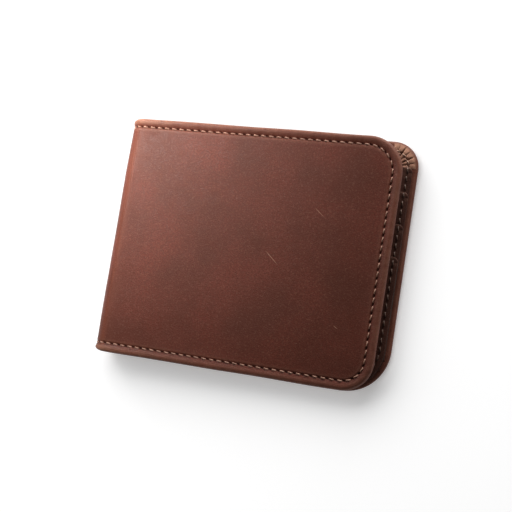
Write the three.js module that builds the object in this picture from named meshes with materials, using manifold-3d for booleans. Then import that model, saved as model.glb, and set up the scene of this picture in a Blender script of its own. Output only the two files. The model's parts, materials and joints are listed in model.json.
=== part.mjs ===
// A bifold wallet: a turned-edge leather cover round a lined bill compartment, with card slots in each half.
// It lies closed on its back. X runs from the fold to the free edges, Y from the sewn bottom up to the open top
// of the bill compartment.
// Millimetres, +Z up, origin under the middle of the closed wallet.
import * as THREE from "three";
import { mergeVertices } from "three/addons/utils/BufferGeometryUtils.js";
import Module from "manifold-3d";

const wasm = await Module();
wasm.setup();

// Driving dimensions
const HEIGHT = 89; // closed wallet, bottom to top
const BACK = { length: 109, bottomRadius: 15.9, topRadius: 9.6 }; // fold line to free edge, and corner radii
const FRONT = { length: 105.4, bottomRadius: 10.8, topRadius: 13.3 };
const CLOSED_BEND = 181.6; // degrees round the closed spine, so the front half leans in to the back one
const SPINE_STRIPS = 2;
const SPINE_STRIP = 6.66; // outer leather between two fold lines
const STRIP_GAP = 0.15; // each strip stops this far from its fold lines

// Layers, as depths from the outer face of the cover
const COVER = [0, 0.9];
const STIFFENER = [0.95, 1.3];
const LINING = [1.35, 1.5];
const HEM = [1.55, 2.1];
const DIVIDER = [2.15, 2.65];
const REAR_SLOT = [2.7, 3.05];
const MIDDLE_SLOT = [3.1, 3.45];
const FRONT_POCKET = [3.5, 3.9];
const TAIL_THICKNESS = 0.2;

// Edges
const EDGE_WALL = 0.9; // leather turned round the edge
const EDGE_ROUND = 0.75;
const HEM_WIDTH = 8;
const INNER_INSET = 1.3; // stiffener and lining stop inside the turned edge
const PANEL_INSET = 1.2; // divider and pockets stop short of the rolled edge
const POCKET_START = 6; // pockets begin this far from the fold line
const STIFFENER_START = 4;

// Top edges of the layers that the cards and bills stand behind
const DIVIDER_TOP = 80;
const REAR_SLOT_TOP = 71;
const MIDDLE_SLOT_TOP = 59.5;
const FRONT_POCKET_TOP = 48;
const SLOT_STRIP = 16; // leather part of a slot, with a cloth tail below it
const TAIL_BOTTOMS = [24, 12]; // where the rear and middle tails are sewn down
const TAIL_GAP = 0.3;

// Seams
const SEAM_INSET = 3.3;
const THREAD_WIDTH = 0.5;
const GROOVE_DEPTH = 0.35;
const GROOVE_MARGIN = 0.1;
const THREAD_DEPTH = [0.05, 0.3];
const THREAD_LIFT = [0.05, 0.22]; // a thread on an inner face, above that face
const STEP_REACH = [0.1, 0.35]; // where a thread climbs a pocket's edge, above that edge
const EDGE_SEAM_START = 7; // the inner thread along the edge begins this far from the fold line
const POCKET_SEAM_X = 9;
const POCKET_SEAM_Y = [4.3, 79];

// Cutting shapes and curves
const FOLD_DEPTH = 5; // deeper than any layer that reaches the fold
const CUT_REACH = 1; // how far a cutting shape reaches past what it cuts
const FAR = 400; // past the whole wallet
const MERGE_DISTANCE = 1e-4;
const CORNER_SEGMENTS = 10;
const EDGE_SEGMENTS = 3;

const LEATHER = new THREE.MeshStandardMaterial({ color: 0x6b3a2c, roughness: 0.5, metalness: 0 });
const INNER_LEATHER = new THREE.MeshStandardMaterial({ color: 0x55301f, roughness: 0.55, metalness: 0 });
const LINING_CLOTH = new THREE.MeshStandardMaterial({ color: 0x2c211d, roughness: 0.9, metalness: 0 });
const BOARD = new THREE.MeshStandardMaterial({ color: 0x8d7a66, roughness: 0.95, metalness: 0 });
const THREAD = new THREE.MeshStandardMaterial({ color: 0xa9795a, roughness: 0.7, metalness: 0 });

const BEND = THREE.MathUtils.degToRad(CLOSED_BEND / (SPINE_STRIPS + 1)); // at each fold line
const MITRE = Math.tan(BEND / 2); // how fast a layer draws back from its fold line with depth

// How far from its fold line a layer begins at a given depth.
function foldEdge(depth) {
  return STRIP_GAP + Math.max(depth, 0) * MITRE;
}

function solidOf(geometry) {
  geometry.deleteAttribute("normal");
  geometry.deleteAttribute("uv");
  const merged = mergeVertices(geometry, MERGE_DISTANCE);
  return new wasm.Manifold(
    new wasm.Mesh({
      numProp: 3,
      vertProperties: merged.attributes.position.array,
      triVerts: new Uint32Array(merged.index.array),
    }),
  );
}

function geometryOf(solid) {
  const mesh = solid.getMesh();
  const geometry = new THREE.BufferGeometry();
  geometry.setAttribute("position", new THREE.BufferAttribute(mesh.vertProperties, 3));
  geometry.setIndex(new THREE.BufferAttribute(mesh.triVerts, 1));
  geometry.computeVertexNormals();
  return geometry;
}

function box([x0, x1], [y0, y1], [z0, z1]) {
  const geometry = new THREE.BoxGeometry(x1 - x0, y1 - y0, z1 - z0);
  geometry.translate((x0 + x1) / 2, (y0 + y1) / 2, (z0 + z1) / 2);
  return solidOf(geometry);
}

// A half's outline, square on the fold side and rounded at its two free corners.
function outline(leaf, inset) {
  const right = leaf.length - inset;
  const top = HEIGHT - inset;
  const bottomRadius = leaf.bottomRadius - inset;
  const topRadius = leaf.topRadius - inset;
  const shape = new THREE.Shape();
  shape.moveTo(-FAR, inset);
  shape.lineTo(right - bottomRadius, inset);
  shape.absarc(right - bottomRadius, inset + bottomRadius, bottomRadius, -Math.PI / 2, 0);
  shape.lineTo(right, top - topRadius);
  shape.absarc(right - topRadius, top - topRadius, topRadius, 0, Math.PI / 2);
  shape.lineTo(-FAR, top);
  shape.closePath();
  return shape;
}

// A flat layer of one half, between two depths, trimmed by limits along X and Y.
function layer(leaf, inset, [low, high], { from = -FAR, bottom = -FAR, top = FAR } = {}) {
  const geometry = new THREE.ExtrudeGeometry(outline(leaf, inset), {
    depth: high - low,
    bevelEnabled: false,
    curveSegments: CORNER_SEGMENTS,
  });
  geometry.translate(0, 0, low);
  return solidOf(geometry).intersect(box([from, FAR], [bottom, top], [-FAR, FAR]));
}

// A band that follows the free edges, such as a groove or a thread.
function band(leaf, inset, width, depths, limits) {
  const inner = layer(leaf, inset + width, [depths[0] - CUT_REACH, depths[1] + CUT_REACH]);
  return layer(leaf, inset, depths, limits).subtract(inner);
}

// A slab between two depths that draws back from its fold line with depth, so that the halves and strips clear
// each other as they unfold. A strip of the spine has a fold line along both of its sides.
function slab([low, high], [y0, y1], width = FAR) {
  const farEdge = (depth) => (width === FAR ? FAR : width - foldEdge(depth));
  const shape = new THREE.Shape([
    new THREE.Vector2(foldEdge(low), low),
    new THREE.Vector2(farEdge(low), low),
    new THREE.Vector2(farEdge(high), high),
    new THREE.Vector2(foldEdge(high), high),
  ]);
  const geometry = new THREE.ExtrudeGeometry(shape, { depth: y1 - y0, bevelEnabled: false });
  geometry.rotateX(Math.PI / 2); // the shape's height becomes depth, and the extrusion runs along -Y
  geometry.translate(0, y1, 0);
  return solidOf(geometry);
}

function mitred(solid) {
  return solid.intersect(slab([0, FOLD_DEPTH], [-FAR, FAR]));
}

// One half of the cover: outer leather, rolled edge and the hem that is turned in over lining and stiffener.
function coverHalf(leaf) {
  const geometry = new THREE.ExtrudeGeometry(outline(leaf, EDGE_ROUND), {
    depth: HEM[1] - 2 * EDGE_ROUND,
    bevelThickness: EDGE_ROUND,
    bevelSize: EDGE_ROUND,
    bevelSegments: EDGE_SEGMENTS,
    curveSegments: CORNER_SEGMENTS,
  });
  geometry.translate(0, 0, EDGE_ROUND);
  const channel = layer(leaf, EDGE_WALL, [COVER[1], HEM[0]]);
  const window = layer(leaf, HEM_WIDTH, [COVER[1], HEM[1] + CUT_REACH]);
  const grooveWidth = THREAD_WIDTH + 2 * GROOVE_MARGIN;
  const groove = band(leaf, SEAM_INSET - GROOVE_MARGIN, grooveWidth, [-CUT_REACH, GROOVE_DEPTH]);
  return mitred(solidOf(geometry)).subtract(channel).subtract(window).subtract(groove);
}

// The faces that an inner thread lies on, from the bottom of a half to its top.
const INNER_STEPS = [
  { face: FRONT_POCKET[1], top: FRONT_POCKET_TOP },
  { face: MIDDLE_SLOT[1], top: MIDDLE_SLOT_TOP },
  { face: REAR_SLOT[1], top: REAR_SLOT_TOP },
  { face: DIVIDER[1], top: DIVIDER_TOP },
  { face: HEM[1], top: FAR },
];

// A thread that follows a column of plan shape over the stepped pocket edges.
function steppedThread(columnBetween, steps) {
  let thread = null;
  let bottom = -FAR;
  steps.forEach(({ face, top }, index) => {
    const last = index === steps.length - 1;
    const reach = last ? top : top + STEP_REACH[1];
    const run = columnBetween([face + THREAD_LIFT[0], face + THREAD_LIFT[1]]).intersect(
      box([-FAR, FAR], [bottom, reach], [-FAR, FAR]),
    );
    thread = thread ? thread.add(run) : run;
    if (!last) {
      const climb = columnBetween([steps[index + 1].face + THREAD_LIFT[0], face + THREAD_LIFT[1]]);
      const slot = box([-FAR, FAR], [top + STEP_REACH[0], top + STEP_REACH[1]], [-FAR, FAR]);
      thread = thread.add(climb.intersect(slot));
      bottom = top + STEP_REACH[0];
    }
  });
  return thread;
}

function piece(name, solid, material) {
  const mesh = new THREE.Mesh(geometryOf(solid), material);
  mesh.name = name;
  return mesh;
}

// Every sub-part of one half, laid flat with its outer face at depth 0.
function half(side, leaf) {
  const group = new THREE.Group();
  const pocket = (depths, bottom, top) =>
    layer(leaf, PANEL_INSET, depths, { from: POCKET_START, bottom, top });
  const tail = (depths, bottom, top) =>
    pocket([depths[0], depths[0] + TAIL_THICKNESS], bottom, top - TAIL_GAP);
  const divider = layer(leaf, PANEL_INSET, DIVIDER, { top: DIVIDER_TOP });
  const rearFoot = REAR_SLOT_TOP - SLOT_STRIP;
  const middleFoot = MIDDLE_SLOT_TOP - SLOT_STRIP;
  const edgeColumn = (depths) =>
    band(leaf, SEAM_INSET, THREAD_WIDTH, depths, { from: EDGE_SEAM_START });
  const pocketColumn = (depths) =>
    box([POCKET_SEAM_X, POCKET_SEAM_X + THREAD_WIDTH], POCKET_SEAM_Y, depths);
  group.add(
    piece(`cover_${side}`, coverHalf(leaf), LEATHER),
    piece(
      `stiffener_${side}`,
      layer(leaf, INNER_INSET, STIFFENER, { from: STIFFENER_START }),
      BOARD,
    ),
    piece(`bill_lining_${side}`, mitred(layer(leaf, INNER_INSET, LINING)), LINING_CLOTH),
    piece(`bill_divider_${side}`, mitred(divider), INNER_LEATHER),
    piece(`rear_slot_${side}`, pocket(REAR_SLOT, rearFoot, REAR_SLOT_TOP), INNER_LEATHER),
    piece(`rear_slot_tail_${side}`, tail(REAR_SLOT, TAIL_BOTTOMS[0], rearFoot), LINING_CLOTH),
    piece(`middle_slot_${side}`, pocket(MIDDLE_SLOT, middleFoot, MIDDLE_SLOT_TOP), INNER_LEATHER),
    piece(`middle_slot_tail_${side}`, tail(MIDDLE_SLOT, TAIL_BOTTOMS[1], middleFoot), LINING_CLOTH),
    piece(`front_pocket_${side}`, pocket(FRONT_POCKET, -FAR, FRONT_POCKET_TOP), INNER_LEATHER),
    piece(`outer_seam_${side}`, mitred(band(leaf, SEAM_INSET, THREAD_WIDTH, THREAD_DEPTH)), THREAD),
    piece(`inner_seam_${side}`, steppedThread(edgeColumn, INNER_STEPS), THREAD),
    piece(`pocket_seam_${side}`, steppedThread(pocketColumn, INNER_STEPS.slice(0, -1)), THREAD),
  );
  return group;
}

// One strip of the spine, with the turned hem at its two ends.
function spineStrip(number) {
  const group = new THREE.Group();
  const bottomSeam = [SEAM_INSET, SEAM_INSET + THREAD_WIDTH];
  const topSeam = [HEIGHT - bottomSeam[1], HEIGHT - bottomSeam[0]];
  const strip = (depths, heights) => slab(depths, heights, SPINE_STRIP);
  const groove = ([y0, y1]) =>
    box([-FAR, FAR], [y0 - GROOVE_MARGIN, y1 + GROOVE_MARGIN], [-CUT_REACH, GROOVE_DEPTH]);
  const leather = strip([COVER[0], HEM[1]], [0, HEIGHT])
    .subtract(box([-FAR, FAR], [EDGE_WALL, HEIGHT - EDGE_WALL], [COVER[1], HEM[0]]))
    .subtract(box([-FAR, FAR], [HEM_WIDTH, HEIGHT - HEM_WIDTH], [COVER[1], FAR]))
    .subtract(groove(bottomSeam))
    .subtract(groove(topSeam));
  group.add(
    piece(`cover_spine_${number}`, leather, LEATHER),
    piece(`bill_lining_spine_${number}`, strip(LINING, [INNER_INSET, HEIGHT - INNER_INSET]), LINING_CLOTH),
    piece(`bill_divider_spine_${number}`, strip(DIVIDER, [PANEL_INSET, DIVIDER_TOP]), INNER_LEATHER),
    piece(`spine_seam_bottom_${number}`, strip(THREAD_DEPTH, bottomSeam), THREAD),
    piece(`spine_seam_top_${number}`, strip(THREAD_DEPTH, topSeam), THREAD),
  );
  return group;
}

// Assembly: the fold lines are walked from the back half's edge, up round the spine, to the front half.
const wallet = new THREE.Group();
wallet.add(half("back", BACK));

const foldLine = new THREE.Vector2(0, 0);
let heading = Math.PI;
let leftmost = 0;
for (let number = 1; number <= SPINE_STRIPS + 1; number += 1) {
  heading -= BEND;
  const section = number > SPINE_STRIPS ? half("front", FRONT) : spineStrip(number);
  section.position.set(foldLine.x, 0, foldLine.y);
  section.rotation.y = -heading;
  section.scale.z = -1; // depth points to the inside of the fold
  wallet.add(section);
  if (number <= SPINE_STRIPS) {
    foldLine.x += SPINE_STRIP * Math.cos(heading);
    foldLine.y += SPINE_STRIP * Math.sin(heading);
    leftmost = Math.min(leftmost, foldLine.x);
  }
}
wallet.position.set(-(leftmost + BACK.length) / 2, -HEIGHT / 2, 0);

export default wallet;
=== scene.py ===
"""Looks of a bifold leather wallet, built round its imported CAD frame.

Most pieces are flat sheets that bend round the spine. They are made in sheet coordinates, in millimetres.
s runs along the unrolled cover, from the back half's free edge, where it is negative, to the front half's.
y runs up the wallet, and depth goes in from the outer face. place() rolls the sheets up into the frame.
"""
import json
import math

import bmesh
import bpy
import numpy as np
from mathutils import Matrix, Vector, noise
from mathutils.geometry import delaunay_2d_cdt


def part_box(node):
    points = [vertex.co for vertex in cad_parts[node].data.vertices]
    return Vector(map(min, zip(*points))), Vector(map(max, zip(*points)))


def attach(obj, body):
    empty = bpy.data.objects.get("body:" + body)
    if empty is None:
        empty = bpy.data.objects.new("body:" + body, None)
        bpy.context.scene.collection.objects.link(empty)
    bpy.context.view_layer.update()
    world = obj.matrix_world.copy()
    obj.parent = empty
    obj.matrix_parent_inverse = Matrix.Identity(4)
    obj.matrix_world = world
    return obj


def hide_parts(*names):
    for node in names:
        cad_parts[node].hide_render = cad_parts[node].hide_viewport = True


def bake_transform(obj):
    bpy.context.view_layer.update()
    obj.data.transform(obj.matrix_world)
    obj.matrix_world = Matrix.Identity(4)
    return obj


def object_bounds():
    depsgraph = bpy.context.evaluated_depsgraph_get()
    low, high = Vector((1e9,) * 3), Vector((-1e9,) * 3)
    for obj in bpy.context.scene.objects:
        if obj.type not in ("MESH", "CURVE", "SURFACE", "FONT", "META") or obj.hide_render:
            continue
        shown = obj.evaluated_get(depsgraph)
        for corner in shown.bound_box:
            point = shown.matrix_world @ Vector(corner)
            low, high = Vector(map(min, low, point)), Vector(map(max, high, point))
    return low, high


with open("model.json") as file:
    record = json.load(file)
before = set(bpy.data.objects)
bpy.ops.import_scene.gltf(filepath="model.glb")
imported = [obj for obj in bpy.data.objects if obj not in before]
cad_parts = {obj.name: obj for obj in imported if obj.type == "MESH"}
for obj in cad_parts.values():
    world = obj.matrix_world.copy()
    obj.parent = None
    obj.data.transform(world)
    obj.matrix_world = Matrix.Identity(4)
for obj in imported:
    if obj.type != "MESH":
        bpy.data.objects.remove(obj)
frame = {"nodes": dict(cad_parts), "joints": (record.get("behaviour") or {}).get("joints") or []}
cad_bounds = [list(corner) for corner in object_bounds()]
MM = 0.001
HALF_TURN = math.pi


# ---------------------------------------------------------------- sizes, worked out from the frame
def box_mm(node):
    low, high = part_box(node)
    return np.array(low) / MM, np.array(high) / MM


fold_joints = sorted(frame["joints"], key=lambda joint: joint["name"])
FOLDS = [np.array(joint["pos_m"])[[0, 2]] / MM for joint in fold_joints]
STRIP = np.linalg.norm(FOLDS[1] - FOLDS[0])  # width of one spine strip
BEND = HALF_TURN - math.atan2(*(FOLDS[1] - FOLDS[0])[::-1])  # at each fold line
RADIUS = STRIP / 2 / math.tan(BEND / 2)  # of the round spine that touches the strips
ARC = len(FOLDS) * BEND
ARC_LENGTH = RADIUS * ARC
CENTRE_X = FOLDS[0][0] + STRIP / 2

BACK_HIGH = box_mm("cover_back")[1]
FRONT_HIGH = box_mm("cover_front")[1]
HALF_HEIGHT = BACK_HIGH[1]
HEM_DEPTH = BACK_HIGH[2]  # depth of the turned-in hem's face
BACK_END = CENTRE_X - BACK_HIGH[0]
FRONT_END = ARC_LENGTH + (FRONT_HIGH[0] - CENTRE_X + RADIUS * math.sin(ARC)) / -math.cos(ARC)

COVER_RECT = (BACK_END, FRONT_END, -HALF_HEIGHT, HALF_HEIGHT)
COVER_RADII = (15.9, 10.8, 13.3, 9.6)  # back bottom, front bottom, front top, back top
SPLITS = (RADIUS * BEND, 2 * RADIUS * BEND)  # where one piece hands over to the next
SPLIT_MARGIN = 0.03  # narrow rows beside a split keep the shading smooth across it
SPLIT_CLEARANCE = 0.12  # no other row comes this near a split

SEAM_INSET = 3.3
STITCH_PITCH = 3.0
HOLE_SIZE = 0.33
HOLE_SLANT = 0.9  # how far a needle hole moves along the seam for each millimetre across it

LEATHER_THICKNESS = 0.9
EDGE = 1.1  # how far the rounding of the turned edge reaches in
HEM_WIDTH = 8.0
RIM = 8.4  # the band of fine rings inside the edge

PANEL_MARGIN = 1.6  # how far the inner panels stay inside the rolled edge
PANEL_CORNER = 0.9  # radius of a panel's corners beside the spine
PANEL_TOP_CORNER = 2.0
PANEL_RIM = 0.8  # width of the ring round a panel's edge
PANEL_STEP = 0.6  # between the points of a panel's edge


def place(s, y, depth):
    """Sheet coordinates in millimetres to points in the frame, in metres."""
    angle = np.clip(s / RADIUS, 0, ARC)
    beyond = s - angle * RADIUS
    x = CENTRE_X - (RADIUS - depth) * np.sin(angle) - beyond * np.cos(angle)
    z = RADIUS - (RADIUS - depth) * np.cos(angle) + beyond * np.sin(angle)
    return np.column_stack([x, y, z]) * MM


def smooth(value):
    value = np.clip(value, 0, 1)
    return value * value * (3 - 2 * value)


def bump(value):
    """1 at 0, falling away to each side."""
    return np.exp(-value * value)


def waves(s, y, size, seed):
    """Slow unevenness from -1 to 1, with features of about the given size."""
    points = zip(s / size, y / size)
    return np.array([noise.noise(Vector((a, b, seed))) for a, b in points])


def uneven(s, y, kind):
    """Waves of a kind, given as their height, size and seed."""
    height, size, seed = kind
    return height * waves(s, y, size, seed)


# ---------------------------------------------------------------- coordinates along the edge
def corner_centre(rect, radii, corner):
    s0, s1, y0, y1 = rect
    radius = radii[corner]
    return (
        s1 - radius if corner in (1, 2) else s0 + radius,
        y1 - radius if corner in (2, 3) else y0 + radius,
    )


CENTRES = [corner_centre(COVER_RECT, COVER_RADII, corner) for corner in range(4)]
seam_starts = [0.0]  # length along the seam at which each corner and each side begins
for corner in range(4):
    here, ahead = np.array(CENTRES[corner]), np.array(CENTRES[(corner + 1) % 4])
    along = 0 if corner in (0, 2) else 1
    seam_starts.append(seam_starts[-1] + (COVER_RADII[corner] - SEAM_INSET) * HALF_TURN / 2)
    seam_starts.append(seam_starts[-1] + abs(ahead[along] - here[along]))
SEAM_LENGTH = seam_starts[-1]
STITCHES = round(SEAM_LENGTH / STITCH_PITCH)
PITCH = SEAM_LENGTH / STITCHES


def edge_coordinates(s, y):
    """Distance inside the cover's outline, length along the seam, and share of the way round a corner.

    The share is -1 along the sides.
    """
    s0, s1, y0, y1 = COVER_RECT
    gaps = np.stack([y - y0, s1 - s, y1 - y, s - s0])  # to the bottom, front, top and back sides
    side = np.argmin(gaps, axis=0)
    inset = np.min(gaps, axis=0)
    travel = np.stack([s - CENTRES[0][0], y - CENTRES[1][1], CENTRES[2][0] - s, CENTRES[3][1] - y])
    starts = np.array([seam_starts[2 * k + 1] for k in range(4)])
    length = starts[side] + np.take_along_axis(travel, side[None], axis=0)[0]
    share = np.full_like(inset, -1.0)
    for corner in range(4):
        centre, radius = CENTRES[corner], COVER_RADII[corner]
        out_s = (s - centre[0]) * (1 if corner in (1, 2) else -1)
        out_y = (y - centre[1]) * (1 if corner in (2, 3) else -1)
        inside = (out_s > 0) & (out_y > 0)
        turn = np.arctan2(out_y, out_s) / (HALF_TURN / 2)
        if corner in (1, 3):
            turn = 1 - turn
        inset = np.where(inside, radius - np.hypot(out_s, out_y), inset)
        round_length = (radius - SEAM_INSET) * HALF_TURN / 2
        length = np.where(inside, seam_starts[2 * corner] + turn * round_length, length)
        share = np.where(inside, turn, share)
    return inset, length, share


def needle_holes(s, y):
    """1 inside a needle hole, 0 away from one. The holes are slanted slits between the stitches."""
    inset, length, _ = edge_coordinates(s, y)
    across = inset - SEAM_INSET
    along = (np.mod(length / PITCH, 1.0) - 0.5) * PITCH + HOLE_SLANT * across
    return bump(along / HOLE_SIZE) * bump(across / HOLE_SIZE)


# ---------------------------------------------------------------- meshes
CORNER_STEP = 0.2  # between the points round a corner
LEAST_CORNER_STEPS = 4
CORNER_CLEARANCE = 0.05  # between a corner's end and the next point along a side
SPINE_STEP = 0.45  # between the columns round the spine
SPINE_REACH = 1.0  # the fine columns go on this far past the spine
FILL_GAP = 0.3  # of the spacing, between a ring and the grid that fills it
SAME_POINT = 1e-7


def without_splits(steps):
    """Leaves out the steps that are too near a split."""
    return [step for step in steps if all(abs(step - split) > SPLIT_CLEARANCE for split in SPLITS)]


def split_steps(s0, s1):
    """The rows on and beside each split that lies between s0 and s1."""
    inside = [split for split in SPLITS if s0 < split < s1]
    return [split + side * SPLIT_MARGIN for split in inside for side in (-1, 0, 1)]


def outline(rect, radii, inset, runs):
    """Points round a rectangle with rounded corners, moved in by inset.

    runs holds the steps along s and along y.
    """
    s0, s1, y0, y1 = rect
    points = []
    for corner in range(4):
        centre = corner_centre(rect, radii, corner)
        steps = max(LEAST_CORNER_STEPS, math.ceil(radii[corner] * HALF_TURN / 2 / CORNER_STEP))
        first = HALF_TURN * (1 + corner / 2)
        angles = np.linspace(first, first + HALF_TURN / 2, steps)
        radius = radii[corner] - inset
        points += [(centre[0] + radius * math.cos(a), centre[1] + radius * math.sin(a)) for a in angles]
        fixed = (y0 + inset, s1 - inset, y1 - inset, s0 + inset)[corner]
        ahead = corner_centre(rect, radii, (corner + 1) % 4)
        along = 0 if corner in (0, 2) else 1
        low, high = sorted((centre[along], ahead[along]))
        inner = [step for step in runs[along] if low + CORNER_CLEARANCE < step < high - CORNER_CLEARANCE]
        if corner in (2, 3):
            inner = inner[::-1]
        points += [(step, fixed) if along == 0 else (fixed, step) for step in inner]
    return np.array(points)


def runs_for(rect, step):
    """Steps along the sides of a rectangle, with narrow ones beside the splits."""
    s0, s1, y0, y1 = rect
    along_s = without_splits(np.round(np.arange(s0, s1, step), 4)) + split_steps(s0, s1)
    return sorted(along_s), list(np.arange(y0, y1, step))


def fill(ring, rect, radii, inset, spacing):
    """Points and triangles that fill a ring, on a grid that is fine round the spine."""
    s0, s1, y0, y1 = rect
    first, last = -SPINE_REACH, ARC_LENGTH + SPINE_REACH
    columns = [s for s in np.arange(s0, s1, spacing) if not first < s < last]
    columns += [s for s in np.arange(first, last, SPINE_STEP) if s0 < s < s1]
    columns = without_splits(columns) + split_steps(s0, s1)
    rows = np.linspace(y0, y1, max(3, round((y1 - y0) / spacing)) + 1)[1:-1]
    grid = np.array([(s, y) for s in sorted(columns) for y in rows])
    margin = inset + FILL_GAP * spacing
    keep = (grid[:, 0] > s0 + margin) & (grid[:, 0] < s1 - margin)
    keep &= (grid[:, 1] > y0 + margin) & (grid[:, 1] < y1 - margin)
    for corner in range(4):
        centre = corner_centre(rect, radii, corner)
        out_s = (grid[:, 0] - centre[0]) * (1 if corner in (1, 2) else -1)
        out_y = (grid[:, 1] - centre[1]) * (1 if corner in (2, 3) else -1)
        keep &= ~((out_s > 0) & (out_y > 0) & (np.hypot(out_s, out_y) > radii[corner] - margin))
    grid = grid[keep]
    points = [Vector(p) for p in ring] + [Vector(p) for p in grid]
    result = delaunay_2d_cdt(points, [], [list(range(len(ring)))], 1, SAME_POINT)
    origin = [ids[0] for ids in result[3]]
    return grid, [[origin[i] for i in face] for face in result[2]]


def sheet_arrays(rect, radii, profile, step, spacing):
    """Points and faces of a closed sheet whose edge follows the profile, a list of (inset, depth) pairs."""
    runs = runs_for(rect, step)
    rings = [outline(rect, radii, inset, runs) for inset, _ in profile]
    count = len(rings[0])
    points = [np.column_stack([ring, np.full(count, depth)]) for ring, (_, depth) in zip(rings, profile)]
    faces = []
    for level in range(len(rings) - 1):
        for i in range(count):
            j = (i + 1) % count
            a, b = level * count, (level + 1) * count
            faces.append([a + i, a + j, b + j, b + i])
    for level in (0, len(rings) - 1):
        grid, triangles = fill(rings[level], rect, radii, profile[level][0], spacing)
        base = sum(len(block) for block in points)
        points.append(np.column_stack([grid, np.full(len(grid), profile[level][1])]))
        first = level * count
        faces += [[first + i if i < count else base + i - count for i in face] for face in triangles]
    return np.concatenate(points), faces


def make_mesh(name, positions, faces, attributes):
    """A smooth-shaded closed mesh. An opening left where a sheet was split is closed with one flat face."""
    used = sorted({i for face in faces for i in face})
    renumber = {old: new for new, old in enumerate(used)}
    mesh = bpy.data.meshes.new(name)
    mesh.from_pydata(positions[used].tolist(), [], [[renumber[i] for i in face] for face in faces])
    for label, values in attributes.items():
        kind, field = ("FLOAT_VECTOR", "vector") if values.ndim == 2 else ("FLOAT", "value")
        layer = mesh.attributes.new(label, kind, "POINT")
        layer.data.foreach_set(field, values[used].astype(np.float32).ravel())
    work = bmesh.new()
    work.from_mesh(mesh)
    for face in work.faces:
        face.smooth = True
    openings = [edge for edge in work.edges if edge.is_boundary]
    if openings:
        caps = bmesh.ops.holes_fill(work, edges=openings, sides=0)["faces"]
        for cap in caps:
            cap.smooth = False
            for edge in cap.edges:
                edge.smooth = False
    bmesh.ops.recalc_face_normals(work, faces=work.faces)
    work.to_mesh(mesh)
    work.free()
    piece = bpy.data.objects.new(name, mesh)
    bpy.context.collection.objects.link(piece)
    return piece


def section_of(s):
    """0 on the back half's piece, 1 on the spine's, 2 on the front half's."""
    return (s > SPLITS[0]).astype(int) + (s > SPLITS[1]).astype(int)


SECTIONS = ("back", "spine", "front")


def bend_with_spine(piece):
    """Bakes a piece's placement into its points; nothing here bends it.
    """
    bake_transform(piece)


def finish_piece(piece, material, nodes=()):
    piece.data.materials.append(material)
    if nodes:
        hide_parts(*nodes)
    return piece


def split_sheet(name, points, faces, attributes, material, nodes):
    """Cuts a sheet that goes round the spine into its three pieces, one for each section, and gives them
    back.
    """
    centres = np.array([points[face, 0].mean() for face in faces])
    sections = section_of(centres)
    pieces = []
    for section in range(3):
        mine = [face for face, where in zip(faces, sections) if where == section]
        piece = make_mesh(f"{name}_{SECTIONS[section]}", place(*points.T), mine, attributes)
        finish_piece(piece, material, nodes[section])
        bend_with_spine(piece)
        pieces.append(piece)
    return pieces


# ---------------------------------------------------------------- materials
# Sizes of the leather's marks, as features for each millimetre of the sheet.
CLOUDS = 0.045
MOTTLE = 0.32
GRAIN = 1.2
SPECKS = 1.5
PORES = 1.5
FIBRES = 2.4
STREAKS = (0.32, 0.03, 0.0)  # along s and along y

# Painted shade colour of needle holes and slits.
HOLE_SHADE_COLOUR = (0.02, 0.008, 0.006)
# Painted highlight colour of the thread on the lit top corners.
PAINTED_THREAD_HIGHLIGHT = (0.5, 0.3, 0.21)
LEATHER_RELIEF = 0.00008  # metres
CLOTH_RELIEF = 0.0001
THREAD_RELIEF = 0.00008


def material_tree(name):
    material = bpy.data.materials.new(name)
    material.use_nodes = True
    return material, material.node_tree


def add(tree, kind, inputs=None, **settings):
    """A shader node with its settings, and its inputs set to values or linked to other nodes' outputs."""
    item = tree.nodes.new(kind)
    for key, value in settings.items():
        setattr(item, key, value)
    for key, value in (inputs or {}).items():
        socket = item.inputs[key]
        if isinstance(value, bpy.types.NodeSocket):
            tree.links.new(value, socket)
        else:
            socket.default_value = value
    return item


def noise_value(tree, vector, scale, detail=4.0, roughness=0.55):
    inputs = {"Vector": vector, "Scale": scale, "Detail": detail, "Roughness": roughness}
    return add(tree, "ShaderNodeTexNoise", inputs).outputs["Fac"]


def ramp(tree, value, low, high):
    """0 at the low value and 1 at the high one, with a soft start and end."""
    return add(tree, "ShaderNodeMapRange", {"Value": value, "From Min": low, "From Max": high},
               interpolation_type="SMOOTHSTEP").outputs["Result"]


def times(tree, a, b):
    return add(tree, "ShaderNodeMath", {0: a, 1: b}, operation="MULTIPLY").outputs[0]


def plus(tree, a, b):
    return add(tree, "ShaderNodeMath", {0: a, 1: b}, operation="ADD").outputs[0]


def mix(tree, share, a, b):
    """Colour a where share is 0, and b where it is 1."""
    item = add(tree, "ShaderNodeMix", {"Factor": share}, data_type="RGBA")
    for socket, value in ((item.inputs[6], a), (item.inputs[7], b)):
        if isinstance(value, bpy.types.NodeSocket):
            tree.links.new(value, socket)
        else:
            socket.default_value = (*value, 1.0)
    return item.outputs[2]


def attribute(tree, name, output="Fac"):
    return add(tree, "ShaderNodeAttribute", attribute_name=name).outputs[output]


def scratch(tree, where, start, angle, length, width):
    """1 on a thin straight scratch that starts at a sheet point and fades out at its ends."""
    moved = add(tree, "ShaderNodeVectorMath", {0: where, 1: (*start, 0.0)}, operation="SUBTRACT")
    turned = add(tree, "ShaderNodeVectorRotate", {"Vector": moved.outputs[0], "Angle": -angle},
                 rotation_type="Z_AXIS")
    parts = add(tree, "ShaderNodeSeparateXYZ", {"Vector": turned.outputs[0]})
    off = add(tree, "ShaderNodeMath", {0: parts.outputs["Y"]}, operation="ABSOLUTE").outputs[0]
    line = ramp(tree, off, width, 0.0)
    begins = ramp(tree, parts.outputs["X"], 0.0, length * 0.3)
    ends = ramp(tree, parts.outputs["X"], length, length * 0.5)
    return times(tree, line, times(tree, begins, ends))


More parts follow.
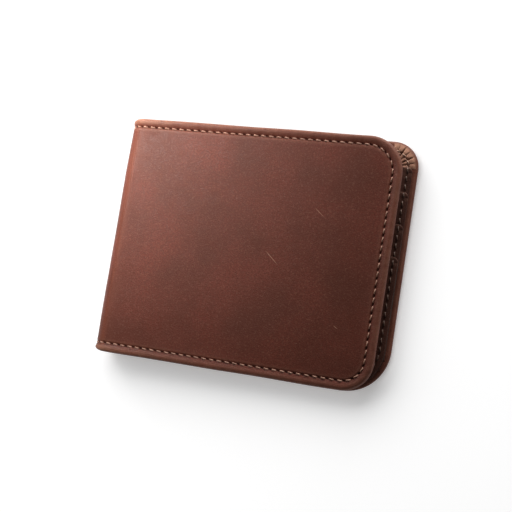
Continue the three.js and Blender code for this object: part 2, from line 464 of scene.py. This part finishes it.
def leather(name, dark, middle, light, pulled, roughness, scratches=()):
    """Pull-up leather: mottled wax and oil, fine pores, lighter where it is bent and where wear and painted
    highlight are marked, with painted shade in its needle holes and slits.
    """
    material, tree = material_tree(name)
    where = attribute(tree, "sheet", "Vector")
    clouds = noise_value(tree, where, CLOUDS, 3.0, 0.5)
    mottle = noise_value(tree, where, MOTTLE, 5.0, 0.62)
    fibres = noise_value(tree, where, FIBRES, 3.0, 0.6)
    grain = noise_value(tree, where, GRAIN, 2.0, 0.5)
    specks = noise_value(tree, where, SPECKS, 1.0, 0.5)
    colour = mix(tree, ramp(tree, clouds, 0.3, 0.72), dark, middle)
    colour = mix(tree, times(tree, ramp(tree, mottle, 0.45, 0.8), 0.035), colour, light)
    colour = mix(tree, times(tree, ramp(tree, fibres, 0.4, 0.7), 0.5), colour, dark)
    colour = mix(tree, times(tree, ramp(tree, grain, 0.42, 0.62), 0.6), colour, dark)
    colour = mix(tree, times(tree, ramp(tree, specks, 0.54, 0.7), 0.06), colour, light)

    stretched = add(tree, "ShaderNodeVectorMath", {0: where, 1: STREAKS}, operation="MULTIPLY")
    streaks = noise_value(tree, stretched.outputs[0], 1.0, 3.0, 0.6)
    bent = times(tree, attribute(tree, "pull"), ramp(tree, streaks, 0.3, 0.6))
    colour = mix(tree, times(tree, bent, 0.5), colour, pulled)
    # Wear and painted highlight, where the attribute marks them, lighten the colour.
    rubbed_and_highlit = times(tree, attribute(tree, "wear"), ramp(tree, mottle, 0.1, 0.6))
    colour = mix(tree, rubbed_and_highlit, colour, light)
    for mark in scratches:
        colour = mix(tree, times(tree, scratch(tree, where, *mark), 0.75), colour, light)
    # Painted shade in the needle holes and slits.
    colour = mix(tree, attribute(tree, "hole"), colour, HOLE_SHADE_COLOUR)

    pores = add(tree, "ShaderNodeTexVoronoi", {"Vector": where, "Scale": PORES, "Randomness": 1.0},
                feature="DISTANCE_TO_EDGE").outputs["Distance"]
    height = plus(tree, times(tree, ramp(tree, pores, 0.0, 0.16), 0.5), times(tree, fibres, 0.9))
    height = plus(tree, height, times(tree, mottle, 1.2))
    relief = add(tree, "ShaderNodeBump", {"Height": height, "Strength": 0.55, "Distance": LEATHER_RELIEF})
    gloss = add(tree, "ShaderNodeMapRange", {"Value": mottle, "From Min": 0.3, "From Max": 0.7,
                                             "To Min": roughness - 0.05, "To Max": roughness + 0.09})
    shader = tree.nodes["Principled BSDF"]
    tree.links.new(colour, shader.inputs["Base Color"])
    tree.links.new(gloss.outputs["Result"], shader.inputs["Roughness"])
    tree.links.new(relief.outputs["Normal"], shader.inputs["Normal"])
    shader.inputs["Specular IOR Level"].default_value = 0.12
    shader.inputs["Sheen Weight"].default_value = 0.01
    shader.inputs["Sheen Roughness"].default_value = 0.5
    return material


def woven(name, dark, light, wave_scale):
    """A plain weave, from two crossed waves."""
    material, tree = material_tree(name)
    where = attribute(tree, "sheet", "Vector")
    warp, weft = (
        add(tree, "ShaderNodeTexWave", {"Vector": where, "Scale": wave_scale, "Distortion": 0.3},
            wave_type="BANDS", bands_direction=direction).outputs["Fac"]
        for direction in ("X", "Y")
    )
    height = times(tree, warp, weft)
    colour = mix(tree, height, dark, light)
    blotch = noise_value(tree, where, 0.15)
    colour = mix(tree, times(tree, blotch, 0.35), colour, dark)
    relief = add(tree, "ShaderNodeBump", {"Height": height, "Strength": 0.6, "Distance": CLOTH_RELIEF})
    shader = tree.nodes["Principled BSDF"]
    tree.links.new(colour, shader.inputs["Base Color"])
    tree.links.new(relief.outputs["Normal"], shader.inputs["Normal"])
    shader.inputs["Roughness"].default_value = 0.85
    shader.inputs["Sheen Weight"].default_value = 0.03
    return material


def thread_material(name, dark, light):
    """Waxed thread, paler where a painted highlight is marked on a lit corner."""
    material, tree = material_tree(name)
    where = attribute(tree, "sheet", "Vector")
    fuzz = noise_value(tree, where, 3.0)
    colour = mix(tree, ramp(tree, fuzz, 0.3, 0.7), dark, light)
    # Painted highlight where the attribute marks a lit corner.
    colour = mix(tree, times(tree, attribute(tree, "wear"), 0.8), colour, PAINTED_THREAD_HIGHLIGHT)
    relief = add(tree, "ShaderNodeBump", {"Height": fuzz, "Strength": 0.5, "Distance": THREAD_RELIEF})
    shader = tree.nodes["Principled BSDF"]
    tree.links.new(colour, shader.inputs["Base Color"])
    tree.links.new(relief.outputs["Normal"], shader.inputs["Normal"])
    shader.inputs["Roughness"].default_value = 0.55
    return material


def board_material():
    """Fibrous grey board."""
    material, tree = material_tree("grey_board")
    where = add(tree, "ShaderNodeTexCoord").outputs["Object"]
    fibres = noise_value(tree, where, 900.0)
    colour = mix(tree, fibres, (0.2, 0.15, 0.1), (0.34, 0.27, 0.2))
    shader = tree.nodes["Principled BSDF"]
    tree.links.new(colour, shader.inputs["Base Color"])
    shader.inputs["Roughness"].default_value = 0.9
    return material


SCRATCHES = (  # start, angle, length and width of each scratch on the front half
    ((ARC_LENGTH + 57, 0.0), math.radians(-40), 8.0, 0.14),
    ((ARC_LENGTH + 73, 17.0), math.radians(-38), 5.5, 0.12),
    ((ARC_LENGTH + 86, -23.0), math.radians(-30), 2.4, 0.16),
)
cover_leather = leather(
    "cover_leather", dark=(0.089, 0.0242, 0.0148), middle=(0.131, 0.0312, 0.0197), light=(0.48, 0.25, 0.165),
    pulled=(0.15, 0.042, 0.023), roughness=0.44, scratches=SCRATCHES)
inner_leather = leather(
    "inner_leather", dark=(0.06, 0.024, 0.017), middle=(0.09, 0.036, 0.025), light=(0.2, 0.1, 0.07),
    pulled=(0.1, 0.04, 0.028), roughness=0.5)
lining_cloth = woven("lining_cloth", dark=(0.03, 0.017, 0.012), light=(0.09, 0.055, 0.04), wave_scale=1.1)
thread = thread_material("waxed_thread", dark=(0.26, 0.125, 0.08), light=(0.44, 0.24, 0.165))
# Painted shade: a darker copy of the thread for the stitches inside, which lie in the front half's shadow.
shaded_thread = thread_material("worn_thread", dark=(0.09, 0.048, 0.034), light=(0.17, 0.1, 0.07))
board = board_material()


# ---------------------------------------------------------------- cover
GROOVE = 0.27  # depth of the groove that the outer stitches lie in
GROOVE_WIDTH = 0.5
INNER_GROOVE = 0.12
INNER_GROOVE_WIDTH = 0.4
HOLE_DEPTH = 0.5
INNER_HOLE_DEPTH = 0.4
ROLL = 0.24  # the turned edge stands this far proud of the groove's sides
ROLL_WIDTH = 2.7
PUFF = 0.14  # the padded panel rises this far towards its middle
PUFF_WIDTH = 14
PANEL_START = 4  # the panel begins this far inside the edge
PANEL_BLEND = 3

# Height, size and seed of the cover's unevenness.
SLOW_WAVES = (0.10, 22, 3.7)
QUICK_WAVES = (0.05, 7, 8.1)
TUCK_WAVES = (0.03, 1.6, 1.2)
CREASE_WAVES = (0.07, 26, 4.4)
EDGE_WAVES = (0.12, 18, 5.5)
CREASE_SQUEEZE = 9  # the creases along the fold are this many times as long as they are wide
CREASE_PLACE = ARC_LENGTH + 2
CREASE_REACH = 7

PLEATS = 6
SLIT_STRENGTHS = (0.0, 0.3, 1.0, 0.35, 1.0, 0.25, 0.0)  # of the slit before each pleat and after the last
SLIT_DEPTH = 0.4
SLIT_WIDTH = 0.17
PLEAT_HEIGHT = 0.15
PLEAT_LAP = 0.1
SPINE_DIP = 0.9  # the spine's ends draw in this far at its middle
SPINE_DIP_WIDTH = 4.5

HEM_FACE_START = 1.7  # the hem's own relief begins at this depth
HEM_FACE_BLEND = 0.3
SKIVED = LEATHER_THICKNESS + 0.62  # depth of the hem's hidden face
TURN = 0.1  # radius of the inside of the turned edge
SHOULDER_PLACE = 4.2  # the panel's edge beside the groove, which is made a little lighter
PULL_PLACE = 1.6  # the leather is pulled palest this far inside the spine's ends
PULL_WIDTH = 1.9
PULL_REACH = 6.0
# How much lighter the turned-in leather is made at the corners: wear at the bottom, and wear with a painted
# highlight at the top corners, which catch the light, most on the back half.
BOTTOM_CORNER_WEAR = 0.12  # of the turned-in leather at the corners
BACK_TOP_CORNER_WEAR_AND_HIGHLIGHT = 0.95
FRONT_TOP_CORNER_WEAR_AND_HIGHLIGHT = 0.4
COVER_STEP = 0.34  # between the points of the cover's edge
COVER_SPACING = 2.2  # between the points inside it


def cover_profile():
    """From the panel's face, over the seam's groove and the rolled edge, to the hem and back under it."""
    profile = [(inset, 0.0) for inset in (RIM, 7.2, 6.2, 5.4, 4.9, 4.5)]
    profile += [(inset, 0.0) for inset in np.arange(4.2, 2.5, -0.16)]
    profile += [(inset, 0.0) for inset in np.arange(2.3, EDGE + 0.1, -0.22)]
    half = HEM_DEPTH / 2
    for angle in np.linspace(0, HALF_TURN, 15):
        profile.append((EDGE * (1 - math.sin(angle)), half - half * math.cos(angle)))
    profile += [(inset, HEM_DEPTH) for inset in np.arange(EDGE + 0.25, 4.2, 0.22)]
    profile += [(inset, HEM_DEPTH) for inset in np.arange(4.4, HEM_WIDTH - 0.3, 0.5)]
    profile += [(HEM_WIDTH - 0.1, HEM_DEPTH - 0.05), (HEM_WIDTH, (HEM_DEPTH + SKIVED) / 2)]
    profile += [(inset, SKIVED) for inset in (HEM_WIDTH - 0.1, 5.0, EDGE + 0.4)]
    profile.append((EDGE + TURN, (SKIVED + LEATHER_THICKNESS) / 2))
    profile += [(inset, LEATHER_THICKNESS) for inset in (EDGE + 0.4, 5.0, RIM)]
    return profile


def pleats(share, inset, radius):
    """Height of the gathered leather on a corner's hem: pleats that lap over each other, and slits."""
    place_in = np.where(share < 0, 0.5, share * PLEATS)
    within = place_in - np.floor(place_in)
    reach = smooth((inset - 0.4) / 1.4)
    pleat_width = (radius - np.clip(inset, 0, radius - 1)) * HALF_TURN / 2 / PLEATS
    gap = np.minimum(within, 1 - within) * pleat_width
    strength = np.array(SLIT_STRENGTHS)[np.round(place_in).astype(int)] * (share >= 0)
    slit = bump(gap / SLIT_WIDTH) * strength
    swell = np.where(share < 0, 0, PLEAT_HEIGHT * np.sin(HALF_TURN * within) + PLEAT_LAP * (within - 0.5))
    return (swell - SLIT_DEPTH * slit) * reach, slit * reach


def cover_relief(points):
    """Moves the cover's points to its real surface, and says how much wear and painted highlight, how much
    painted shade in needle holes and slits, and how much pull each one has.
    """
    s, y, depth = points.T.copy()
    inset, _, share = edge_coordinates(s, y)
    outer = smooth((HEM_DEPTH / 2 - depth) / (HEM_DEPTH / 2))  # 1 on the outer face, 0 on the hem's face
    outer = np.where(depth == LEATHER_THICKNESS, 0, outer)
    hem = smooth((depth - HEM_FACE_START) / HEM_FACE_BLEND)
    on_panel = smooth((inset - PANEL_START) / PANEL_BLEND)
    on_roll = smooth((ROLL_WIDTH - inset) / 1.0)
    holes = needle_holes(s, y)

    groove = GROOVE * bump((inset - SEAM_INSET) / GROOVE_WIDTH)
    roll = ROLL * smooth((ROLL_WIDTH - inset) / 1.3)
    slow = uneven(s, y, SLOW_WAVES) + uneven(s, y, QUICK_WAVES)
    puff = PUFF * smooth((inset - PANEL_START) / PUFF_WIDTH)
    tuck = uneven(s, y, TUCK_WAVES) * on_roll
    creases = uneven(s * CREASE_SQUEEZE, y, CREASE_WAVES) * bump((s - CREASE_PLACE) / CREASE_REACH)
    sunk = groove - roll + tuck + (creases - slow - puff) * on_panel + HOLE_DEPTH * holes
    depth = depth + outer * sunk

    corner = np.where(s > ARC_LENGTH / 2, np.where(y > 0, 2, 1), np.where(y > 0, 3, 0))
    fold_height, slit = pleats(share, inset, np.array(COVER_RADII)[corner])
    inner_groove = INNER_GROOVE * bump((inset - SEAM_INSET) / INNER_GROOVE_WIDTH)
    depth = depth + hem * (fold_height - inner_groove - INNER_HOLE_DEPTH * holes)

    near_end = smooth((abs(y) - HALF_HEIGHT + 3) / 3)
    y = y - np.sign(y) * SPINE_DIP * bump((s - ARC_LENGTH / 2) / SPINE_DIP_WIDTH) * near_end
    y = y + uneven(s, np.zeros_like(s), EDGE_WAVES) * smooth((abs(y) - HALF_HEIGHT + 6) / 6)

    # Wear and painted highlight make the leather lighter: a painted highlight along the rounded outer edge
    # and on the turned-in top corners, which catch the light, and a little lightening along the roll, the
    # roll near the spine, the hem's sides and the panel's edge beside the groove.
    rim_wear_and_highlight = bump((inset - 0.35) / 0.5)
    shoulder = 0.25 * outer * bump((inset - SHOULDER_PLACE) / 0.5)
    top_corner_wear_and_highlight = np.where(s < ARC_LENGTH / 2, BACK_TOP_CORNER_WEAR_AND_HIGHLIGHT, FRONT_TOP_CORNER_WEAR_AND_HIGHLIGHT)
    corner_wear_and_highlight = np.where(y < 0, BOTTOM_CORNER_WEAR, top_corner_wear_and_highlight)
    turned_corner = hem * (share >= 0) * smooth((inset - 0.3) / 1.0) * corner_wear_and_highlight
    spine_end = 0.22 * bump((s - ARC_LENGTH / 2) / 16)
    wear = 0.12 * rim_wear_and_highlight + 0.3 * shoulder + 0.12 * hem * (share < 0) + turned_corner
    wear = np.clip(wear + outer * on_roll * (0.09 + spine_end), 0, 1)
    # Painted shade: the needle holes, and the slits between the hem's pleats, are painted dark.
    hole = np.clip(1.1 * holes * np.maximum(outer, 0.6 * hem) + 0.6 * slit * hem, 0, 1)
    past_spine = np.maximum(np.maximum(-s, s - ARC_LENGTH), 0)
    bent = bump((s - PULL_PLACE) / PULL_WIDTH) + bump((s - ARC_LENGTH + PULL_PLACE) / PULL_WIDTH)
    pull = np.clip(0.25 * smooth(1 - past_spine / PULL_REACH) + 0.85 * bent, 0, 1) * outer
    sheet = np.column_stack([s, y, depth])
    return sheet, {"wear": wear, "hole": hole, "pull": pull, "sheet": sheet}


def spine_nodes(stem):
    return [f"{stem}_spine_1", f"{stem}_spine_2"]


cover_points, cover_faces = sheet_arrays(COVER_RECT, COVER_RADII, cover_profile(), COVER_STEP, COVER_SPACING)
cover_points, cover_attributes = cover_relief(cover_points)
split_sheet("leather_cover", cover_points, cover_faces, cover_attributes, cover_leather,
            (["cover_back"], spine_nodes("cover"), ["cover_front"]))


# ---------------------------------------------------------------- inner sheets
PANEL_WAVES = (0.03, 15, 2.2)  # height, size and seed
PANEL_SINK = 0.03  # keeps the waves below the panel's CAD face
PANEL_HOLE_DEPTH = 0.14
CREASE_DEPTH = 0.1
CREASE_BELOW_TOP = 2.0  # a pressed line follows each panel's top edge at this distance
CREASE_WIDTH = 0.3
LOW_PANEL_REACH = 4  # a panel that ends this near the cover's bottom edge follows its corner
LEATHER_SPACING = 0.9  # between the points inside a leather panel


def panel_relief(points, low, high, top):
    """Needle holes, a crease below the top edge, and slow unevenness, on the side that faces inwards."""
    s, y, depth = points.T.copy()
    inner = smooth((depth - low) / (high - low))
    holes = needle_holes(s, y)
    crease = bump((top - y - CREASE_BELOW_TOP) / CREASE_WIDTH)
    sunk = PANEL_HOLE_DEPTH * holes + CREASE_DEPTH * crease + PANEL_SINK + uneven(s, y, PANEL_WAVES)
    sheet = np.column_stack([s, y, depth - inner * sunk])
    # The panel's top edge, and a line below it, are made lighter.
    wear = np.clip(0.75 * bump((top - y) / 0.7) + 0.3 * bump((top - y - 2.6) / 0.5), 0, 1)
    # Painted shade in the panel's needle holes.
    hole = np.clip(0.4 * holes * inner, 0, 1)
    return sheet, {"wear": wear, "hole": hole, "sheet": sheet}


def cloth_relief(points, low, high, top):
    """A flat cloth with nothing worn or pierced. It takes what panel_relief takes."""
    zero = np.zeros(len(points))
    return points, {"wear": zero, "hole": zero, "sheet": points}


def rect_of(node, side):
    """A back half's CAD layer as a sheet rectangle and depths, or its mirror image on the front half."""
    low, high = box_mm(node)
    fold_gap = low[0] - CENTRE_X
    if side == "back":
        rect = (BACK_END + PANEL_MARGIN, -fold_gap, low[1], high[1])
    else:
        rect = (ARC_LENGTH + fold_gap, FRONT_END - PANEL_MARGIN, low[1], high[1])
    return rect, low[2], high[2]


def free_radii(rect, side):
    """Corner radii: a low panel's free bottom corner follows the cover's, the others are nearly square."""
    free = COVER_RADII[0 if side == "back" else 1] - PANEL_MARGIN
    bottom = free if rect[2] < -HALF_HEIGHT + LOW_PANEL_REACH else PANEL_CORNER
    if side == "back":
        return bottom, PANEL_CORNER, PANEL_CORNER, PANEL_TOP_CORNER
    return PANEL_CORNER, bottom, PANEL_TOP_CORNER, PANEL_CORNER


def thin_profile(low, high):
    """The rounded edge of a thin sheet between two depths."""
    half = (high - low) / 2
    profile = [(PANEL_RIM, high), (half + 0.1, high)]
    for angle in np.linspace(0, HALF_TURN, 7):
        profile.append((half * (1 - math.sin(angle)), (low + high) / 2 + half * math.cos(angle)))
    profile += [(half + 0.1, low), (PANEL_RIM, low)]
    return profile


def half_panel(name, node, side, material, spacing):
    """A pocket, slot or tail of one half: a thin sheet with a rounded edge."""
    rect, low, high = rect_of(f"{node}_back", side)
    radii = free_radii(rect, side)
    points, faces = sheet_arrays(rect, radii, thin_profile(low, high), PANEL_STEP, spacing)
    points, attributes = panel_relief(points, low, high, rect[3])
    piece = make_mesh(f"{name}_{side}", place(*points.T), faces, attributes)
    finish_piece(piece, material, [f"{node}_{side}"])
    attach(piece, f"{side}_half")
    return piece, rect


PANELS = (
    ("rear_slot", "rear_card_slot"),
    ("middle_slot", "middle_card_slot"),
    ("front_pocket", "front_card_pocket"),
)
inner_levels = []  # (rectangle, face depth) of each inner panel, for the stitches that lie on them
for side in ("back", "front"):
    for node, name in PANELS:
        _, rect = half_panel(name, node, side, inner_leather, LEATHER_SPACING)
        inner_levels.append((rect, box_mm(f"{node}_back")[1][2]))
    for node in ("rear_slot_tail", "middle_slot_tail"):
        tail, rect = half_panel(f"{node}_cloth", node, side, lining_cloth, 3.0)


def through_sheet(name, stem, material, spacing, relief):
    """A sheet that runs from one free edge to the other, round the spine."""
    low, high = box_mm(f"{stem}_back")
    rect = (BACK_END + PANEL_MARGIN, FRONT_END - PANEL_MARGIN, low[1], high[1])
    radii = [radius - PANEL_MARGIN for radius in COVER_RADII]
    if high[1] < HALF_HEIGHT - HEM_WIDTH:  # its top corners lie below the cover's
        radii[2:] = [PANEL_TOP_CORNER, PANEL_TOP_CORNER]
    points, faces = sheet_arrays(rect, radii, thin_profile(low[2], high[2]), PANEL_STEP, spacing)
    points, attributes = relief(points, low[2], high[2], rect[3])
    pieces = split_sheet(name, points, faces, attributes, material,
                         ([f"{stem}_back"], spine_nodes(stem), [f"{stem}_front"]))
    return pieces, rect, high[2]


_, divider_rect, divider_face = through_sheet(
    "note_divider", "bill_divider", inner_leather, LEATHER_SPACING, panel_relief)
inner_levels.append((divider_rect, divider_face))

lining_pieces, lining_rect, _ = through_sheet(
    "note_lining", "bill_lining", lining_cloth, 2.5, cloth_relief)
# The lining is one cloth.
lining_back, lining_spine, lining_front = lining_pieces


# ---------------------------------------------------------------- stitches
THREAD_RADIUS = 0.25
PLY_DEPTH = 0.2  # how far the two plies' lobes stand out, as a share of the radius
PLY_TWIST = 7.0  # radians along a stitch
END_TAPER = 0.6
SLANT = 0.15  # each end of a stitch lies this far across the seam
STITCH_SHARE = 0.7  # of the pitch that each stitch covers
STITCH_RISE = 0.16  # of its middle above the surface
STITCH_DIVE = 0.4  # of its ends into their holes, on top of losing that rise
DIVE_START = 0.7  # where the dive begins, from the stitch's middle at 0 to its end at 1
SWELL_RANGE = (0.93, 1.07)  # of one stitch's radius
WANDER = 0.008  # of the thread across the seam
INNER_SINK = 0.1  # the inner stitches lie this far into the hem
PANEL_SINK_IN = 0.05  # and this far into a panel
POCKET_ROW_ENDS = (2, 1)  # the pocket row stops this far short of its CAD seam's bottom and top
TUBE_SIDES = 10
TUBE_STEPS = 13


def seam_point(length, across):
    """Sheet coordinates of a point on the seam, moved across it towards the panel."""
    length = length % SEAM_LENGTH
    for corner in range(4):
        centre, radius = CENTRES[corner], COVER_RADII[corner] - SEAM_INSET - across
        if length <= seam_starts[2 * corner + 1]:
            span = seam_starts[2 * corner + 1] - seam_starts[2 * corner]
            angle = HALF_TURN * (1 + corner / 2 + (length - seam_starts[2 * corner]) / span / 2)
            return np.array([centre[0] + radius * math.cos(angle), centre[1] + radius * math.sin(angle)])
        if length <= seam_starts[2 * corner + 2]:
            run = length - seam_starts[2 * corner + 1]
            angle = HALF_TURN * (1.5 + corner / 2)
            ahead = np.array([-math.sin(angle), math.cos(angle)])
            out = np.array([math.cos(angle), math.sin(angle)])
            return np.array(centre) + radius * out + run * ahead
    return np.array(CENTRES[0])


def stitch_tube(line, side_way, out_way, radius):
    """A short two-ply thread along a line of sheet points. Each ring is a twisting figure of two lobes."""
    points, faces = [], []
    for i, centre in enumerate(line):
        t = i / (len(line) - 1)
        taper = END_TAPER + (1 - END_TAPER) * math.sin(HALF_TURN * t)
        for k in range(TUBE_SIDES):
            angle = 2 * HALF_TURN * k / TUBE_SIDES
            lobe = 1 + PLY_DEPTH * math.cos(2 * angle - PLY_TWIST * t)
            reach = radius * taper * lobe
            points.append(centre + reach * (math.cos(angle) * side_way + math.sin(angle) * out_way))
    for i in range(len(line) - 1):
        for k in range(TUBE_SIDES):
            a, b = i * TUBE_SIDES, (i + 1) * TUBE_SIDES
            n = (k + 1) % TUBE_SIDES
            faces.append([a + k, a + n, b + n, b + k])
    faces.append(list(range(TUBE_SIDES))[::-1])
    last = (len(line) - 1) * TUBE_SIDES
    faces.append([last + k for k in range(TUBE_SIDES)])
    return points, faces


def inner_depth(s, y):
    """Depth of the inner face at a sheet point: the hem, or the topmost panel there."""
    depth = HEM_DEPTH - INNER_SINK
    for (s0, s1, y0, y1), face in inner_levels:
        if s0 < s < s1 and y0 < y < y1:
            depth = max(depth, face - PANEL_SINK_IN)
    return depth


def row_of_stitches(inside, count, point_at, rng):
    """Points and faces of a row of stitches, in sheet coordinates.

    point_at(k, t, across) gives the sheet point at t, from -1 to 1 along stitch k, moved across the seam.
    """
    points, faces = [], []
    outwards = np.array([0.0, 0.0, 1.0 if inside else -1.0])
    for k in range(count):
        middle = point_at(k, 0.0, 0.0)
        surface = inner_depth(*middle) if inside else GROOVE
        ends = [point_at(k, t, -SLANT * t) for t in (-0.3, 0.3)]
        ahead = ends[1] - ends[0]
        ahead /= np.linalg.norm(ahead)
        side_way = np.array([-ahead[1], ahead[0], 0.0])
        swell = rng.uniform(*SWELL_RANGE)
        line = []
        for t in np.linspace(-1, 1, TUBE_STEPS):
            flat = point_at(k, t, -SLANT * t + rng.uniform(-WANDER, WANDER))
            dive = max(0.0, abs(t) - DIVE_START) / (1 - DIVE_START)
            rise = STITCH_RISE * (1 - t * t) - STITCH_DIVE * dive
            line.append(np.array([*flat, surface]) + outwards * rise)
        tube, quads = stitch_tube(line, side_way, outwards, THREAD_RADIUS * swell)
        base = len(points)
        points += tube
        faces += [[base + i for i in face] for face in quads]
    return np.array(points), faces


def edge_point(k, t, across):
    """A point of stitch k in the seam round the edge."""
    return seam_point((k + t * STITCH_SHARE / 2) * PITCH, across)


def section_rows(name, inside, nodes):
    """The stitches of one side of the edge seam, as one piece for each section."""
    rng = np.random.default_rng(7 if inside else 5)
    points, faces = row_of_stitches(inside, STITCHES, edge_point, rng)
    rings = TUBE_SIDES * TUBE_STEPS
    middles = points[:, 0].reshape(STITCHES, rings).mean(axis=1)
    sections = np.repeat(section_of(middles), rings)
    share = edge_coordinates(points[:, 0], points[:, 1])[2]
    # Painted highlight: the inner stitches on the top corners, which catch the light, are marked to be
    # painted paler.
    lit_corner = (share >= 0) & (points[:, 1] > 0) & inside
    attributes = {"sheet": points, "wear": lit_corner.astype(float)}
    for section in range(3):
        mine = [face for face in faces if sections[face[0]] == section]
        piece = make_mesh(f"{name}_{SECTIONS[section]}", place(*points.T), mine, attributes)
        finish_piece(piece, shaded_thread if inside else thread, nodes[section])
        bend_with_spine(piece)


spine_threads = [f"spine_seam_{end}_{number}" for end in ("bottom", "top") for number in (1, 2)]
section_rows("edge_stitches", False, (["outer_seam_back"], spine_threads, ["outer_seam_front"]))
section_rows("inner_stitches", True, (["inner_seam_back"], [], ["inner_seam_front"]))


def pocket_row(side):
    """The upright row of stitches between the pockets and the spine."""
    low, high = box_mm("pocket_seam_back")
    gap = (low[0] + high[0]) / 2 - CENTRE_X
    s = -gap if side == "back" else ARC_LENGTH + gap
    bottom, top = low[1] + POCKET_ROW_ENDS[0], high[1] - POCKET_ROW_ENDS[1]
    count = int((top - bottom) / PITCH)

    def point_at(k, t, across):
        return np.array([s + across, bottom + (k + 0.5 + t * STITCH_SHARE / 2) * PITCH])

    points, faces = row_of_stitches(True, count, point_at, np.random.default_rng(11))
    piece = make_mesh(f"pocket_stitches_{side}", place(*points.T), faces, {"sheet": points})
    finish_piece(piece, shaded_thread, [f"pocket_seam_{side}"])
    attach(piece, f"{side}_half")


for side in ("back", "front"):
    pocket_row(side)
    stiffener = frame["nodes"][f"stiffener_{side}"]  # stays as the CAD has it, sealed in the cover
    stiffener.data.materials.clear()
    stiffener.data.materials.append(board)


# ---------------------------------------------------------------- floor, lights and camera
FLOOR_SIZE = 6.0
FLOOR_DROP = 0.0004  # the floor lies this far below the CAD box, clear of the leather's unevenness


def floor_material():
    material, tree = material_tree("pale_floor")
    shader = tree.nodes["Principled BSDF"]
    shader.inputs["Base Color"].default_value = (0.9, 0.9, 0.9, 1)
    shader.inputs["Roughness"].default_value = 0.8
    shader.inputs["Specular IOR Level"].default_value = 0.1
    shader.inputs["Emission Color"].default_value = (1, 1, 1, 1)
    shader.inputs["Emission Strength"].default_value = 0.3
    return material


def floor_object():
    edge = FLOOR_SIZE / 2
    corners = [(-edge, -edge, 0), (edge, -edge, 0), (edge, edge, 0), (-edge, edge, 0)]
    mesh = bpy.data.meshes.new("floor")
    mesh.from_pydata(corners, [], [(0, 1, 2, 3)])
    mesh.materials.append(floor_material())
    item = bpy.data.objects.new("floor", mesh)
    bpy.context.collection.objects.link(item)
    item.location.z = cad_bounds[0][2] - FLOOR_DROP
    return item


def light_group(name, members):
    group = bpy.data.collections.new(name)
    for member in members:
        group.objects.link(member)
    return group


def lamp(name, light, position, target, group):
    """Places a light, which shines on one group only: the wallet or the floor."""
    item = bpy.data.objects.new(name, light)
    item.location = position
    item.rotation_euler = (Vector(target) - Vector(position)).to_track_quat("-Z", "Y").to_euler()
    item.visible_camera = False
    item.light_linking.receiver_collection = group
    bpy.context.collection.objects.link(item)


def area_light(name, position, target, size, power, group):
    light = bpy.data.lights.new(name, "AREA")
    light.shape = "RECTANGLE"
    light.size, light.size_y = size
    light.energy = power
    lamp(name, light, position, target, group)


def spot_light(name, position, target, cone, soft_size, power, colour, group):
    light = bpy.data.lights.new(name, "SPOT")
    light.spot_size = math.radians(cone)
    light.spot_blend = 1.0
    light.shadow_soft_size = soft_size
    light.energy = power
    light.color = colour
    lamp(name, light, position, target, group)


floor = floor_object()

shown = [item for item in bpy.context.scene.objects if item.type == "MESH" and item is not floor]
wallet_group = light_group("lit_wallet", shown)
floor_group = light_group("lit_floor", [floor])
spot_light("key_spot", position=(-0.195, 0.133, 0.185), target=(-0.124, 0.085, 0), cone=57, soft_size=0.08,
           power=22.0, colour=(1.0, 0.975, 0.935), group=wallet_group)
area_light("side_softbox", position=(-0.48, 0.52, 0.38), target=(0, 0, 0), size=(0.7, 0.7), power=2.6,
           group=wallet_group)
area_light("top_strip", position=(0.10, 0.40, 0.10), target=(0.03, 0.03, 0.005), size=(0.3, 0.08), power=1.9,
           group=wallet_group)
area_light("floor_light", position=(-0.24, 0.66, 0.50), target=(0, 0, 0), size=(1.1, 1.0), power=9.6,
           group=floor_group)
area_light("floor_side", position=(-0.66, 0.22, 0.44), target=(0, 0, 0), size=(0.9, 0.9), power=4.6,
           group=floor_group)

world = bpy.data.worlds.new("studio")
world.use_nodes = True
background = world.node_tree.nodes["Background"]
background.inputs["Color"].default_value = (1, 1, 1, 1)
background.inputs["Strength"].default_value = 0.13
bpy.context.scene.world = world
bpy.context.scene.view_settings.view_transform = "Standard"

SENSOR = 36.0
LENS = 75.63
CAMERA_PLACE = Vector((0.15399, -0.04075, 0.35982))
CAMERA_AHEAD = Vector((-0.3909, 0.1002, -0.9150)).normalized()
CAMERA_UP = Vector((-0.1080, 0.9822, 0.1537))
camera_data = bpy.data.cameras.new("camera")
camera_data.sensor_width = SENSOR
camera_data.lens = LENS
camera_data.clip_start = 0.01
camera = bpy.data.objects.new("camera", camera_data)
bpy.context.collection.objects.link(camera)
right = CAMERA_AHEAD.cross(CAMERA_UP).normalized()
up = right.cross(CAMERA_AHEAD)
turn = Matrix((right, up, -CAMERA_AHEAD)).transposed()
camera.matrix_world = Matrix.Translation(CAMERA_PLACE) @ turn.to_4x4()
bpy.context.scene.camera = camera
